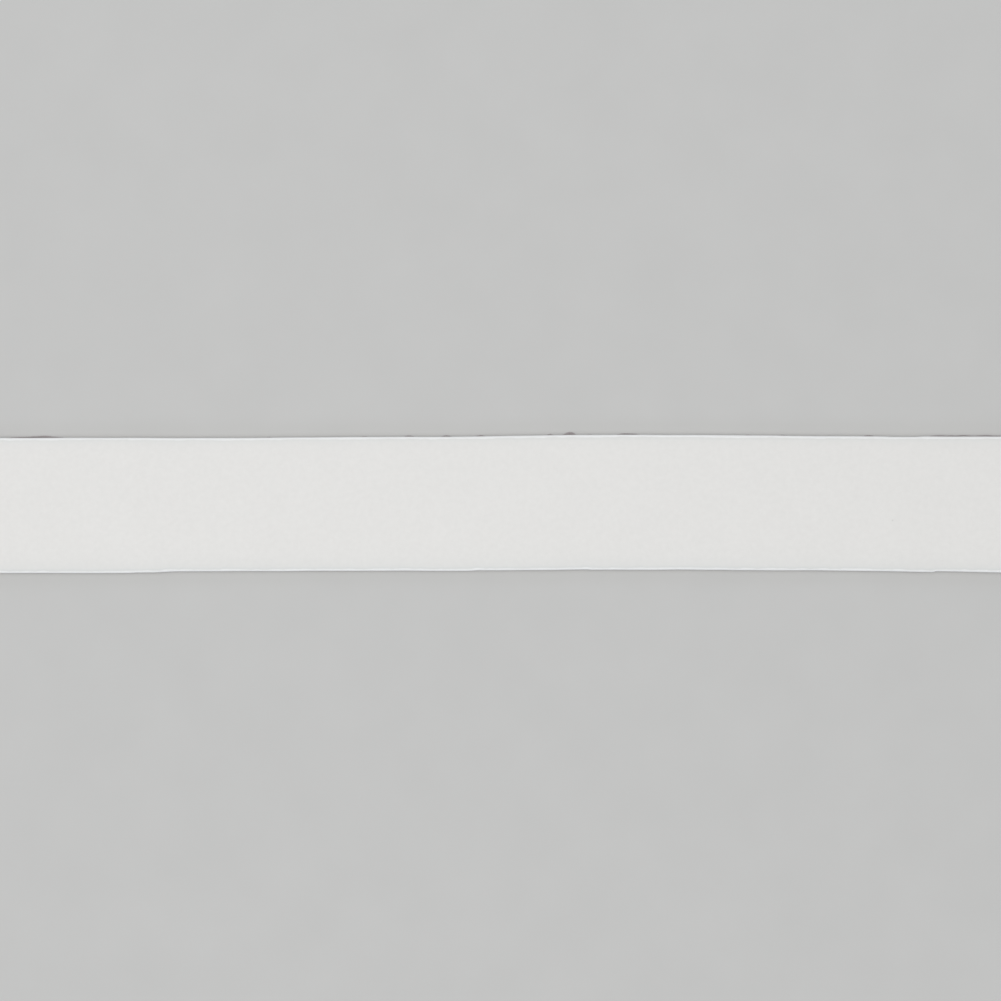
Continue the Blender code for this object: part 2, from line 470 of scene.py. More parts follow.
# %% Build the sweep tree
def sweep_tree():
    tree, given = new_tree("sweep_between_cuts", SWEEP_INPUTS)
    tube, on_lower, on_upper, on_section = swept_tube(tree, given)
    across, height, most = add(tree, "ShaderNodeSeparateXYZ", {0: on_section}).outputs
    sockets = {0: across, 4: on_lower, 5: on_upper}
    between = add(tree, "ShaderNodeMix", sockets, data_type="VECTOR").outputs[1]
    x, y, end_fall = add(tree, "ShaderNodeSeparateXYZ", {0: between}).outputs
    lowered = add(tree, "ShaderNodeMath", {0: most, 1: end_fall}, operation="ADD")
    low_height = add(tree, "ShaderNodeMath", {0: height, 1: lowered}, operation="MINIMUM")
    final_height = swollen_height(tree, given, between, low_height)
    final_y = dragged_place(tree, given, x, y, across, final_height)
    point = add(tree, "ShaderNodeCombineXYZ", {"X": x, "Y": final_y, "Z": final_height})
    layer = add(tree, "GeometryNodeSetPosition", {"Geometry": tube, "Position": point})

    # The coating gets painted shade and a painted highlight near the cuts, so each point keeps its
    # distance to both
    ends = {0: on_upper, 1: on_lower}
    width = add(tree, "ShaderNodeVectorMath", ends, operation="DISTANCE").outputs["Value"]
    from_lower = add(tree, "ShaderNodeMath", {0: across, 1: width}, operation="MULTIPLY")
    from_upper = add(tree, "ShaderNodeMath", {0: width, 1: from_lower}, operation="SUBTRACT")
    for name, distance in (("from_lower_cut", from_lower), ("from_upper_cut", from_upper)):
        sockets = {"Geometry": layer, "Name": name, "Value": distance}
        layer = add(tree, "GeometryNodeStoreNamedAttribute", sockets, data_type="FLOAT")
    end_tree(tree, layer, given["Material"])
    return tree


sweep = sweep_tree()
sheet_values = {
    "Lower cut": lower_cut,
    "Upper cut": upper_cut,
    "Swell height": 0.05 * MM,
    "Swell size": 26 * MM,
    "Cut grain": 0.8 * MM,
}
print("nodes in the sweep tree:", len(sweep.nodes))

# %% [markdown]
# ## The coating
#
# The face is a polyurethane colour coat, about 0.2 mm thick. It is cast as a liquid on a release
# paper and takes the paper's fine, dull texture, so it is matt and nearly smooth: an index of
# refraction of 1.5 as for most plastics, and a roughness a little over a half. Titanium white in
# it hides the foam below. Its tone could be one flat colour, but two things break it up, and
# painted light is laid over it beside the cuts:
# - soft mottles, where the coat lies a little thicker or thinner;
# - painted shade: a greyer, cooler band beside each cut, stronger along the lower cut;
# - a painted highlight: outside that band, a thin, cool white rim on the rounded shoulder;
# - one speck of dust under the coat, near the right.

# %% List the coating's tones
COATING_WHITE, COATING_GREY = "E9E8E6", "D2D1CF"
MOTTLES = {
    # size of the patches: how much grey they bring
    9 * MM: 0.10,
    0.9 * MM: 0.30,
}
# The widest distance in from a cut that the tables below reach
PAINTED_LIGHT_REACH = 5.5 * MM
# Painted shade: a greyer, cooler band beside each cut, stronger along the lower cut
PAINTED_SHADE_GREY = "D1D6D6"
PAINTED_SHADE_BAND = {
    # distance in from the cut, in millimetres, and share of the painted shade grey there
    "from_lower_cut": ((0.0, 0.0), (0.3, 0.06), (0.50, 0.58), (0.70, 0.33), (0.92, 0.22),
                       (1.11, 0.18), (1.48, 0.135), (1.85, 0.105), (2.8, 0.04), (5.5, 0.0)),
    "from_upper_cut": ((0.0, 0.0), (0.35, 0.02), (0.56, 0.30), (0.90, 0.16), (1.11, 0.11),
                       (1.48, 0.055), (1.85, 0.03), (2.8, 0.0), (5.5, 0.0)),
}
# Painted highlight: a thin, cool white rim on the rounded shoulder at each cut
PAINTED_HIGHLIGHT_WHITE = "F6FAFD"
PAINTED_HIGHLIGHT_RIM = {
    # distance in from the cut, in millimetres, and share of the painted highlight's cool white there
    "from_lower_cut": ((0.0, 0.45), (0.28, 0.52), (0.37, 0.12), (0.44, 0.0), (5.5, 0.0)),
    "from_upper_cut": ((0.0, 0.38), (0.33, 0.46), (0.43, 0.16), (0.52, 0.0), (5.5, 0.0)),
}
# The painted shade band and the painted highlight rim drift in and out, by a good deal less than this
DRIFT = 0.5 * MM
DRIFT_SIZE = 2.4 * MM
SPECK_PLACE = (72.4 * MM, -2.9 * MM, face_height)
SPECK_RADIUS = 0.28 * MM
SPECK_GREYNESS = 0.6
print("coating:", COATING_WHITE, "to", COATING_GREY, "with", PAINTED_SHADE_GREY, "and", PAINTED_HIGHLIGHT_WHITE, "by the cuts")


# %% Mix the coating's colour
def beside_cut(tree, name, shares, drift):
    """A share that follows its table, by distance in from one cut."""
    inward = add(tree, "ShaderNodeAttribute", attribute_name=name).outputs["Fac"]
    drifted = add(tree, "ShaderNodeMath", {0: inward, 1: drift}, operation="ADD")
    sockets = {0: drifted, 1: PAINTED_LIGHT_REACH}
    reach_share = add(tree, "ShaderNodeMath", sockets, operation="DIVIDE", use_clamp=True)
    table = add(tree, "ShaderNodeFloatCurve", {"Value": reach_share})
    curve = table.mapping.curves[0]
    curve.points[0].location = (0.0, shares[0][1])
    curve.points[1].location = (1.0, shares[-1][1])
    for inward_mm, value in shares[1:-1]:
        curve.points.new(inward_mm * MM / PAINTED_LIGHT_REACH, value)
    for point in curve.points:
        point.handle_type = "VECTOR"
    table.mapping.update()
    return table


def speck(tree, place):
    """One at the middle of the speck, and nothing outside it."""
    ends = {0: place, 1: SPECK_PLACE}
    away = add(tree, "ShaderNodeVectorMath", ends, operation="DISTANCE").outputs["Value"]
    sockets = {"Value": away, "From Min": SPECK_RADIUS, "From Max": 0.0}
    return add(tree, "ShaderNodeMapRange", sockets, interpolation_type="SMOOTHSTEP")


def coating_colour(tree, place, dust):
    """White, greyed by the speck and the mottles, then given painted shade and a painted highlight beside
    the cuts.
    """
    greyness = add(tree, "ShaderNodeMath", {0: dust, 1: SPECK_GREYNESS}, operation="MULTIPLY")
    for size, strength in MOTTLES.items():
        noise = add(tree, "ShaderNodeTexNoise", {"Vector": place, "Scale": 1 / size, "Detail": 2.0})
        sockets = {0: noise, 1: strength, 2: greyness}
        greyness = add(tree, "ShaderNodeMath", sockets, operation="MULTIPLY_ADD")
    sockets = {0: greyness, 6: linear(COATING_WHITE), 7: linear(COATING_GREY)}
    colour = add(tree, "ShaderNodeMix", sockets, data_type="RGBA").outputs[2]
    noise = add(tree, "ShaderNodeTexNoise", {"Vector": place, "Scale": 1 / DRIFT_SIZE, "Detail": 3.0})
    sockets = {0: noise, 1: DRIFT, 2: -DRIFT / 2}
    drift = add(tree, "ShaderNodeMath", sockets, operation="MULTIPLY_ADD")
    # Painted shade in a band beside each cut, then a painted highlight on the shoulder rim
    for painted_light_tint, tables in ((PAINTED_SHADE_GREY, PAINTED_SHADE_BAND), (PAINTED_HIGHLIGHT_WHITE, PAINTED_HIGHLIGHT_RIM)):
        for name, shares in tables.items():
            sockets = {0: beside_cut(tree, name, shares, drift), 6: colour, 7: linear(painted_light_tint)}
            colour = add(tree, "ShaderNodeMix", sockets, data_type="RGBA").outputs[2]
    return colour


# %% [markdown]
# The release paper's grain is bump, because it is only about a hundredth of a millimetre deep.
# Rounded pebbles about half a millimetre wide carry a finer, duller noise, and together they
# take the mirror out of the plastic. The dust lifts the coat a little where it lies.

# %% Give the coating its dull grain
GRAIN_SIZE = 0.45 * MM
GRAIN_DEPTH = 0.009 * MM
DULL_SIZE = 0.14 * MM
DULL_DEPTH = 0.004 * MM
SPECK_HEIGHT = 0.02 * MM


def cast_coating():
    material, tree, shader = new_material("cast_polyurethane_coating", Roughness=0.55, IOR=1.5)
    place = add(tree, "ShaderNodeTexCoord").outputs["Object"]
    dust = speck(tree, place)
    tree.links.new(coating_colour(tree, place, dust), shader.inputs["Base Color"])
    sockets = {"Vector": place, "Scale": 1 / GRAIN_SIZE, "Smoothness": 1.0}
    grain = add(tree, "ShaderNodeTexVoronoi", sockets, feature="SMOOTH_F1").outputs["Distance"]
    sockets = {"Vector": place, "Scale": 1 / DULL_SIZE, "Detail": 2.0}
    dull = add(tree, "ShaderNodeTexNoise", sockets)
    normal = add(tree, "ShaderNodeBump", {"Height": grain, "Distance": GRAIN_DEPTH})
    normal = add(tree, "ShaderNodeBump", {"Height": dull, "Distance": DULL_DEPTH, "Normal": normal})
    normal = add(tree, "ShaderNodeBump", {"Height": dust, "Distance": SPECK_HEIGHT, "Normal": normal})
    tree.links.new(normal.outputs[0], shader.inputs["Normal"])
    return material


coating_material = cast_coating()
print("material:", coating_material.name)

# %% [markdown]
# Its section is a thin film that follows the face. The blade has pressed its edge round, with a
# radius of 0.3 mm, and the last few millimetres roll down to that shoulder. The blade also drags
# the film thin at its lip. The points stand close round the shoulder and wide apart over the flat
# middle.

# %% Draw the coating's section and sweep it
COAT_THICKNESS = 0.22 * MM
LIP_THINNED_BY = 0.5
MIDDLE_LANE = 0.9 * MM
# The film's underside never shows, so it has fewer points
UNDER_STEPS = (5, 4)
HIDDEN_LANE = 3 * MM


def face_lanes(shoulder_steps, roll_steps, middle_lane):
    """Places across the face as (share of the width, distance in, nearest cut), lower cut first."""
    steps = inward_steps(shoulder_steps, roll_steps)
    middle = np.arange(ROLL_REACH + middle_lane, STRIP_WIDTH - ROLL_REACH, middle_lane)
    lower = [(step / STRIP_WIDTH, step, "lower") for step in steps]
    centre = [(step / STRIP_WIDTH, ROLL_REACH, "lower") for step in middle]
    upper = [(1 - step / STRIP_WIDTH, step, "upper") for step in steps[::-1]]
    return lower + centre + upper


def film_height(inward, edge):
    """Height of the film's underside, at a distance in from a cut."""
    lip = max(1 - inward / SHOULDER_RADIUS, 0) ** 2
    return face_height - fall(inward, edge) - COAT_THICKNESS * (1 - LIP_THINNED_BY * lip)


film_most = face_height - COAT_THICKNESS
film_over = [
    (share, face_height - fall(inward, edge), face_height)
    for share, inward, edge in face_lanes(*FACE_STEPS, MIDDLE_LANE)
]
film_under = [
    (share, film_height(inward, edge), film_most)
    for share, inward, edge in face_lanes(*UNDER_STEPS, HIDDEN_LANE)
]
coat_section = guide_curve("coat_section", [film_over + film_under[::-1]], closed=True)
coat_values = {"Section": coat_section, "Cut roughness": 0.012 * MM, "Seed": 1.0}
grow("coating", sweep, {**sheet_values, **coat_values, "Material": coating_material})

# %% [markdown]
# ## The foam
#
# Between coat and cloth lies a good half millimetre of polyurethane blown into foam, which makes
# the trim plump and soft. Only its cut wall shows, and there the blade opened its cells: a creamy
# white surface full of tiny pits. The real cells are about 0.05 mm wide, too fine to show, so
# they are drawn three times as wide. The same sweep makes the foam, with more drag in its walls.

# %% Mix the foam's material
# The foam's creamy white, and a darker colour painted into its cell pits as shade
FOAM_LIGHT, FOAM_PAINTED_PIT_SHADE = "E9E4D9", "B9B2A6"
CELL_SIZE = 0.15 * MM
CELL_DEPTH = 0.04 * MM


def blown_foam():
    material, tree, shader = new_material("blown_polyurethane_foam", Roughness=0.9, IOR=1.45)
    place = add(tree, "ShaderNodeTexCoord").outputs["Object"]
    sockets = {"Vector": place, "Scale": 1 / CELL_SIZE}
    cell = add(tree, "ShaderNodeTexVoronoi", sockets).outputs["Distance"]
    # Painted shade: the pits, lowest in the bump, get the darker colour
    sockets = {0: cell, 6: linear(FOAM_PAINTED_PIT_SHADE), 7: linear(FOAM_LIGHT)}
    colour = add(tree, "ShaderNodeMix", sockets, data_type="RGBA").outputs[2]
    tree.links.new(colour, shader.inputs["Base Color"])
    pits = add(tree, "ShaderNodeBump", {"Height": cell, "Distance": CELL_DEPTH})
    tree.links.new(pits.outputs[0], shader.inputs["Normal"])
    return material


foam_material = blown_foam()
print("material:", foam_material.name)

# %% Fill the space under the film with foam
# It reaches a little down into the cloth and up into the film, and stands back from the cuts
FOAM_BOTTOM = 0.32 * MM
FOAM_INSET = 0.03 * MM
FOAM_OVERLAP = 0.01 * MM
FOAM_STEPS = (3, 4)
WALL_STEPS = 4


def foam_section():
    """The foam's closed section: up one wall, under the film, and down the other wall."""
    inset = FOAM_INSET / STRIP_WIDTH
    over = [
        (min(max(share, inset), 1 - inset), film_height(inward, edge) + FOAM_OVERLAP)
        for share, inward, edge in face_lanes(*FOAM_STEPS, HIDDEN_LANE)
    ]
    rise = np.linspace(0, 1, WALL_STEPS, endpoint=False)
    near_wall = [(inset, FOAM_BOTTOM + (over[0][1] - FOAM_BOTTOM) * part) for part in rise]
    far_wall = [(1 - inset, FOAM_BOTTOM + (over[-1][1] - FOAM_BOTTOM) * part) for part in rise[::-1]]
    most = film_most + FOAM_OVERLAP
    return [(share, height, most) for share, height in near_wall + over + far_wall]


foam_guide = guide_curve("foam_section", [foam_section()], closed=True)
foam_values = {"Section": foam_guide, "Cut roughness": 0.05 * MM, "Seed": 2.0}
grow("foam", sweep, {**sheet_values, **foam_values, "Material": foam_material})

# %% [markdown]
# ## The woven backing
#
# The backing is plain-woven polyester and cotton: each yarn goes over one crossing yarn and under
# the next, and its neighbour does the reverse. A real one has about 24 yarns to the centimetre.
# Under half as many are drawn, each wider to match, so that every yarn can be a real tube.
# One tree weaves both directions. Warp runs along the strip and weft across it, and the two
# differ only in which cut share grows along the yarn and which one counts the yarns.

# %% Lay out the yarns
WEAVE_INPUTS = {
    "object": ("Lower line", "Upper line"),
    "switch": ("Across",),
    "count": ("Yarns", "Crossings", "Seed"),
    "number": ("Yarn width", "Yarn height", "Middle height", "Wander", "Longest gap"),
    "material": ("Material",),
}
POINTS_A_CROSSING = 2


def yarn_runs(tree, given):
    """The yarns as straight runs from 0 to 1, and which run each point is on."""
    line = add(tree, "GeometryNodeCurvePrimitiveLine", {"Start": (0, 0, 0), "End": (1, 0, 0)})
    sockets = {0: given["Crossings"], 1: POINTS_A_CROSSING, 2: 1}
    points = add(tree, "ShaderNodeMath", sockets, operation="MULTIPLY_ADD")
    run = add(tree, "GeometryNodeResampleCurve", {"Curve": line, "Count": points}, mode="COUNT")
    sockets = {"Geometry": run, "Amount": given["Yarns"]}
    runs = add(tree, "GeometryNodeDuplicateElements", sockets, domain="SPLINE")
    return runs.outputs


def woven_spot(tree, given, run_share, yarn):
    """Where a yarn's point lies in plan, before its ends are cut back."""
    middle = add(tree, "ShaderNodeMath", {0: yarn, 1: 0.5}, operation="ADD")
    yarn_share = add(tree, "ShaderNodeMath", {0: middle, 1: given["Yarns"]}, operation="DIVIDE")
    sockets = {"Switch": given["Across"], "False": run_share, "True": yarn_share}
    along_share = add(tree, "GeometryNodeSwitch", sockets, input_type="FLOAT")
    sockets = {"Switch": given["Across"], "False": yarn_share, "True": run_share}
    across_share = add(tree, "GeometryNodeSwitch", sockets, input_type="FLOAT")
    ends = []
    for name in ("Lower line", "Upper line"):
        cut = add(tree, "GeometryNodeObjectInfo", {"Object": given[name]}).outputs["Geometry"]
        sockets = {"Curves": cut, "Factor": along_share}
        ends.append(add(tree, "GeometryNodeSampleCurve", sockets, mode="FACTOR").outputs["Position"])
    sockets = {0: across_share, 4: ends[0], 5: ends[1]}
    return add(tree, "ShaderNodeMix", sockets, data_type="VECTOR").outputs[1]


# %% [markdown]
# Straight, even yarns would look like a grille. In real cloth each one sways a little between
# its neighbours, and few end quite at the cut. So two shifts are laid over the even plan: a gap
# at each end, drawn at random, and a smooth noise that every yarn reads at a place of its own.

# %% Cut the yarns back and let them sway
WANDER_LENGTH = 4 * MM


def cut_back(tree, given, run_share, yarn):
    """How far to draw a point along its yarn, so that the ends stop short of the cuts at random."""
    gaps = []
    for step in range(2):
        seed = add(tree, "ShaderNodeMath", {0: given["Seed"], 1: step}, operation="ADD")
        sockets = {2: 0.0, 3: given["Longest gap"], "ID": yarn, "Seed": seed}
        gap = add(tree, "FunctionNodeRandomValue", sockets, data_type="FLOAT")
        gaps.append(gap.outputs[1])
    far = add(tree, "ShaderNodeMath", {0: gaps[1], 1: -1.0}, operation="MULTIPLY")
    back = add(tree, "ShaderNodeMix", {0: run_share, 2: gaps[0], 3: far}, data_type="FLOAT")
    lengthwise = add(tree, "ShaderNodeCombineXYZ", {"X": back.outputs[0]})
    crosswise = add(tree, "ShaderNodeCombineXYZ", {"Y": back.outputs[0]})
    sockets = {"Switch": given["Across"], "False": lengthwise, "True": crosswise}
    return add(tree, "GeometryNodeSwitch", sockets, input_type="VECTOR")


def wandering(tree, given, spot, yarn):
    """A small sideways wander, different from one yarn to the next."""
    lift_apart = add(tree, "ShaderNodeCombineXYZ", {"Z": yarn})
    noise_spot = add(tree, "ShaderNodeVectorMath", {0: spot, 1: lift_apart}, operation="ADD")
    sockets = {"Vector": noise_spot, "Scale": 1 / WANDER_LENGTH, "Detail": 1.0}
    noise = add(tree, "ShaderNodeTexNoise", sockets).outputs["Color"]
    about_zero = add(tree, "ShaderNodeVectorMath", {0: noise, 1: (0.5,) * 3}, operation="SUBTRACT")
    sockets = {0: about_zero, "Scale": given["Wander"]}
    wander = add(tree, "ShaderNodeVectorMath", sockets, operation="SCALE")
    lengthwise = add(tree, "ShaderNodeMath", {0: 1.0, 1: given["Across"]}, operation="SUBTRACT")
    sideways = add(tree, "ShaderNodeCombineXYZ", {"X": given["Across"], "Y": lengthwise})
    return add(tree, "ShaderNodeVectorMath", {0: wander, 1: sideways}, operation="MULTIPLY")


# %% Send each yarn over and under
YARN_SIDES = 8


def woven_height(tree, given, run_share, yarn):
    """A wave with half a turn to each crossing, which starts half a turn on at the next yarn."""
    sockets = {0: run_share, 1: given["Crossings"], 2: yarn}
    turn = add(tree, "ShaderNodeMath", sockets, operation="MULTIPLY_ADD")
    other_way = add(tree, "ShaderNodeMath", {0: turn, 1: given["Across"]}, operation="ADD")
    from_crossing = add(tree, "ShaderNodeMath", {0: other_way, 1: 0.5}, operation="SUBTRACT")
    angle = add(tree, "ShaderNodeMath", {0: from_crossing, 1: math.pi}, operation="MULTIPLY")
    over = add(tree, "ShaderNodeMath", {0: angle}, operation="COSINE")
    lift = add(tree, "ShaderNodeMath", {0: given["Yarn height"], 1: 0.5}, operation="MULTIPLY")
    sockets = {0: over, 1: lift, 2: given["Middle height"]}
    return add(tree, "ShaderNodeMath", sockets, operation="MULTIPLY_ADD")


def yarn_section(tree, width, height, sides):
    """A flattened ring of a few points, each knowing how far round the yarn it lies."""
    ring = add(tree, "GeometryNodeCurvePrimitiveCircle", {"Resolution": sides, "Radius": 0.5})
    half_step = math.pi / sides
    flat_on_top = add(tree, "GeometryNodeTransform", {"Geometry": ring, "Rotation": (0, 0, half_step)})
    tall = add(tree, "ShaderNodeMath", {0: height, 1: math.cos(half_step)}, operation="DIVIDE")
    scale = add(tree, "ShaderNodeCombineXYZ", {"X": width, "Y": tall, "Z": 1.0})
    oval = add(tree, "GeometryNodeTransform", {"Geometry": flat_on_top, "Scale": scale})
    around = add(tree, "GeometryNodeSplineParameter").outputs["Factor"]
    sockets = {"Geometry": oval, "Name": "around_yarn", "Value": around}
    return add(tree, "GeometryNodeStoreNamedAttribute", sockets, data_type="FLOAT")


# %% Build the weaving tree
def weaving_tree():
    tree, given = new_tree("plain_weave", WEAVE_INPUTS)
    runs, yarn = yarn_runs(tree, given)
    here = add(tree, "GeometryNodeInputPosition")
    run_share = add(tree, "ShaderNodeSeparateXYZ", {0: here}).outputs["X"]
    spot = woven_spot(tree, given, run_share, yarn)
    for shift in (cut_back(tree, given, run_share, yarn), wandering(tree, given, spot, yarn)):
        spot = add(tree, "ShaderNodeVectorMath", {0: spot, 1: shift}, operation="ADD")
    x, y, _ = add(tree, "ShaderNodeSeparateXYZ", {0: spot}).outputs
    height = woven_height(tree, given, run_share, yarn)
    point = add(tree, "ShaderNodeCombineXYZ", {"X": x, "Y": y, "Z": height})
    sockets = {"ID": yarn, "Seed": given["Seed"]}
    dye = add(tree, "FunctionNodeRandomValue", sockets, data_type="FLOAT").outputs[1]
    sockets = {"Geometry": runs, "Name": "yarn", "Value": dye}
    dyed = add(tree, "GeometryNodeStoreNamedAttribute", sockets, data_type="FLOAT")
    yarns = add(tree, "GeometryNodeSetPosition", {"Geometry": dyed, "Position": point})
    length = add(tree, "GeometryNodeSplineParameter").outputs["Length"]
    sockets = {"Geometry": yarns, "Name": "along_yarn", "Value": length}
    measured = add(tree, "GeometryNodeStoreNamedAttribute", sockets, data_type="FLOAT")
    level = add(tree, "GeometryNodeSetCurveNormal", {"Curve": measured}, mode="Z_UP")
    oval = yarn_section(tree, given["Yarn width"], given["Yarn height"], YARN_SIDES)
    sockets = {"Curve": level, "Profile Curve": oval, "Fill Caps": True}
    cloth = add(tree, "GeometryNodeCurveToMesh", sockets)
    end_tree(tree, cloth, given["Material"])
    return tree


weave = weaving_tree()
print("nodes in the weaving tree:", len(weave.nodes))

# %% [markdown]
# Spun yarn is a bundle of fine fibres with a twist in it. The fibres are far too fine to model,
# so the yarn's material draws them as streaks that wind round it: it reads how far along the
# yarn and how far round it each point lies, which the tree stored. Where a yarn is cut across,
# its end is a stipple of fibre ends. They are 0.02 mm wide, and are drawn three times as wide
# so that they show. Undyed yarn is greyish white, some of it with a trace of mauve and some of
# green. It scatters light well, so its roughness is high, and its loose fibre ends give a
# faint sheen.

# %% Spin the yarn's material
YARN_MAUVE, YARN_GREEN, YARN_SHADE = "C3AEB9", "B5B6B1", "9A8B92"
TWIST_LENGTH = 1.3 * MM
STREAK_LENGTH = 1.6 * MM
STREAKS_AROUND = 5.0
STREAK_RELIEF = 0.03 * MM
FIBRE_END_SIZE = 0.06 * MM
FIBRE_END_RELIEF = 0.012 * MM
FIBRE_END_SHARE = 0.35
# How far apart in the noise two yarns read their streaks, so that no two look alike
PATTERNS_APART = 100.0


def spun_yarn():
    looks = {"Roughness": 0.85, "IOR": 1.5, "Sheen_Weight": 0.15, "Sheen_Roughness": 0.5}
    material, tree, shader = new_material("spun_polyester_cotton_yarn", **looks)
    along, around, yarn = (
        add(tree, "ShaderNodeAttribute", attribute_name=name).outputs["Fac"]
        for name in ("along_yarn", "around_yarn", "yarn")
    )
    sockets = {0: along, 1: 1 / TWIST_LENGTH, 2: around}
    turns = add(tree, "ShaderNodeMath", sockets, operation="MULTIPLY_ADD")
    round_it = add(tree, "ShaderNodeMath", {0: turns, 1: STREAKS_AROUND}, operation="MULTIPLY")
    down_it = add(tree, "ShaderNodeMath", {0: along, 1: 1 / STREAK_LENGTH}, operation="MULTIPLY")
    apart = add(tree, "ShaderNodeMath", {0: yarn, 1: PATTERNS_APART}, operation="MULTIPLY")
    spot = add(tree, "ShaderNodeCombineXYZ", {"X": down_it, "Y": round_it, "Z": apart})
    streak = add(tree, "ShaderNodeTexNoise", {"Vector": spot, "Scale": 1.0, "Detail": 3.0})
    place = add(tree, "ShaderNodeTexCoord").outputs["Object"]
    stipple = add(tree, "ShaderNodeTexNoise", {"Vector": place, "Scale": 1 / FIBRE_END_SIZE})
    sockets = {0: FIBRE_END_SHARE, 2: streak, 3: stipple}
    fibres = add(tree, "ShaderNodeMix", sockets, data_type="FLOAT")
    sockets = {0: yarn, 6: linear(YARN_MAUVE), 7: linear(YARN_GREEN)}
    dye = add(tree, "ShaderNodeMix", sockets, data_type="RGBA").outputs[2]
    sockets = {0: fibres, 6: dye, 7: linear(YARN_SHADE)}
    colour = add(tree, "ShaderNodeMix", sockets, data_type="RGBA").outputs[2]
    tree.links.new(colour, shader.inputs["Base Color"])
    normal = add(tree, "ShaderNodeBump", {"Height": streak, "Distance": STREAK_RELIEF})
    sockets = {"Height": stipple, "Distance": FIBRE_END_RELIEF, "Normal": normal}
    normal = add(tree, "ShaderNodeBump", sockets)
    tree.links.new(normal.outputs[0], shader.inputs["Normal"])
    return material


yarn_material = spun_yarn()
print("material:", yarn_material.name)

# %% Weave the backing
YARN_PITCH = 0.95 * MM
CLOTH_THICKNESS = 0.42 * MM

warp_count = round((upper_y - lower_y).mean() / YARN_PITCH)
weft_count = round(2 * half_length / YARN_PITCH)
weave_values = {
    "Lower line": lower_line,
    "Upper line": upper_line,
    "Yarn width": 0.72 * MM,
    "Yarn height": CLOTH_THICKNESS / 2,
    "Middle height": CLOTH_THICKNESS / 2,
    "Wander": 0.12 * MM,
    "Longest gap": 0.12 * MM,
    "Material": yarn_material,
}
warp_values = {"Across": False, "Yarns": warp_count, "Crossings": weft_count, "Seed": 3}
weft_values = {"Across": True, "Yarns": weft_count, "Crossings": warp_count, "Seed": 7}
grow("warp_yarns", weave, {**weave_values, **warp_values})
grow("weft_yarns", weave, {**weave_values, **weft_values})
print(f"{warp_count} warp and {weft_count} weft yarns")

# %% [markdown]
# ## Yarns that came loose
#
# Along the upper cut the knife ran down the outermost warp yarn, and here and there it bulges
# out from under the coat. The photo shows three longer stretches, one small loop and several
# slight bulges. Each is a path of listed points, given as its place along the strip, how far
# it lies out from the cut, and its height. The long hump and the loop stand off so far that the
# floor would show through behind them, so more strands lie there, each nearer to the cut.

# %% Set the paths of the longer loose yarns
# Each point is (along, out from the cut, height), in millimetres
LONG_HUMP = (
    (-94.0, -0.50, 0.22), (-91.6, -0.16, 0.20), (-90.0, 0.04, 0.16), (-88.6, 0.10, 0.14),
    (-87.2, 0.13, 0.14), (-86.1, 0.19, 0.13), (-85.1, 0.27, 0.12), (-84.2, 0.29, 0.12),
    (-83.4, 0.21, 0.12), (-82.7, 0.12, 0.14), (-81.8, 0.05, 0.16), (-80.6, -0.08, 0.20),
    (-79.2, -0.50, 0.22),
)
SMALL_LOOP = (
    (10.2, -0.50, 0.22), (11.3, -0.10, 0.18), (11.9, 0.12, 0.15), (12.4, 0.36, 0.16),
    (13.0, 0.43, 0.19), (13.5, 0.27, 0.22), (13.9, -0.04, 0.24), (14.5, -0.50, 0.22),
)
WAVY_HUMP = (
    (19.4, -0.50, 0.22), (21.3, -0.10, 0.18), (22.3, 0.10, 0.15), (23.1, 0.15, 0.14),
    (24.2, 0.12, 0.13), (25.1, 0.07, 0.14), (26.0, -0.12, 0.18), (27.4, -0.50, 0.22),
)
LONG_EDGE = (
    (77.0, -0.50, 0.22), (79.0, -0.12, 0.18), (80.0, 0.05, 0.14), (80.8, 0.13, 0.13),
    (81.6, 0.13, 0.14), (82.4, 0.07, 0.14), (83.4, 0.12, 0.14), (84.2, 0.08, 0.14),
    (85.3, 0.17, 0.13), (86.0, 0.18, 0.13), (86.8, 0.09, 0.15), (87.8, 0.04, 0.17),
    (89.6, 0.16, 0.15), (91.4, 0.08, 0.16), (94.0, 0.07, 0.14), (97.0, 0.03, 0.15),
    (100.0, -0.14, 0.18), (102.6, -0.50, 0.22),
)
long_paths = (LONG_HUMP, SMALL_LOOP, WAVY_HUMP, LONG_EDGE)
print("longer loose yarns:", len(long_paths))

# %% Add the slight bulges and the strands behind
YARN_THICKNESS = 0.22 * MM
# Out from the cut and height, in millimetres: where a yarn lies hidden, where it comes out from
# under the coat, and its height at the top of a bulge
HIDDEN = (-0.50, 0.22)
COMING_OUT = (-0.16, 0.18)
TOP_HEIGHT = 0.14
# How far from a bulge's middle it comes out, and is hidden, as shares of half its length
COMES_OUT_AT, HIDDEN_AT = 0.8, 1.6
# From one strand to the next one behind it, in millimetres
STRAND_PITCH = 0.19
SLIGHT_BULGES = {
    # place along: (proud of the cut, half its length), in millimetres
    -42.8: (0.14, 1.0),
    -25.2: (0.15, 1.2),
    -16.9: (0.24, 1.8),
    -10.0: (0.29, 1.6),
    -3.7: (0.25, 1.4),
    9.2: (0.24, 1.0),
    16.5: (0.12, 0.9),
    45.8: (0.16, 1.0),
    52.2: (0.12, 1.8),
    68.1: (0.24, 1.8),
}


def bulge(place, proud, half):
    """A slight bulge: out from under the coat and back again."""
    top = proud - YARN_THICKNESS / MM / 2
    return [
        (place - HIDDEN_AT * half, *HIDDEN),
        (place - COMES_OUT_AT * half, *COMING_OUT),
        (place, top, TOP_HEIGHT),
        (place + COMES_OUT_AT * half, *COMING_OUT),
        (place + HIDDEN_AT * half, *HIDDEN),
    ]


def behind(path, strands):
    """The same path again, nearer the cut by this many strands."""
    return [(place, out - strands * STRAND_PITCH, height) for place, out, height in path]


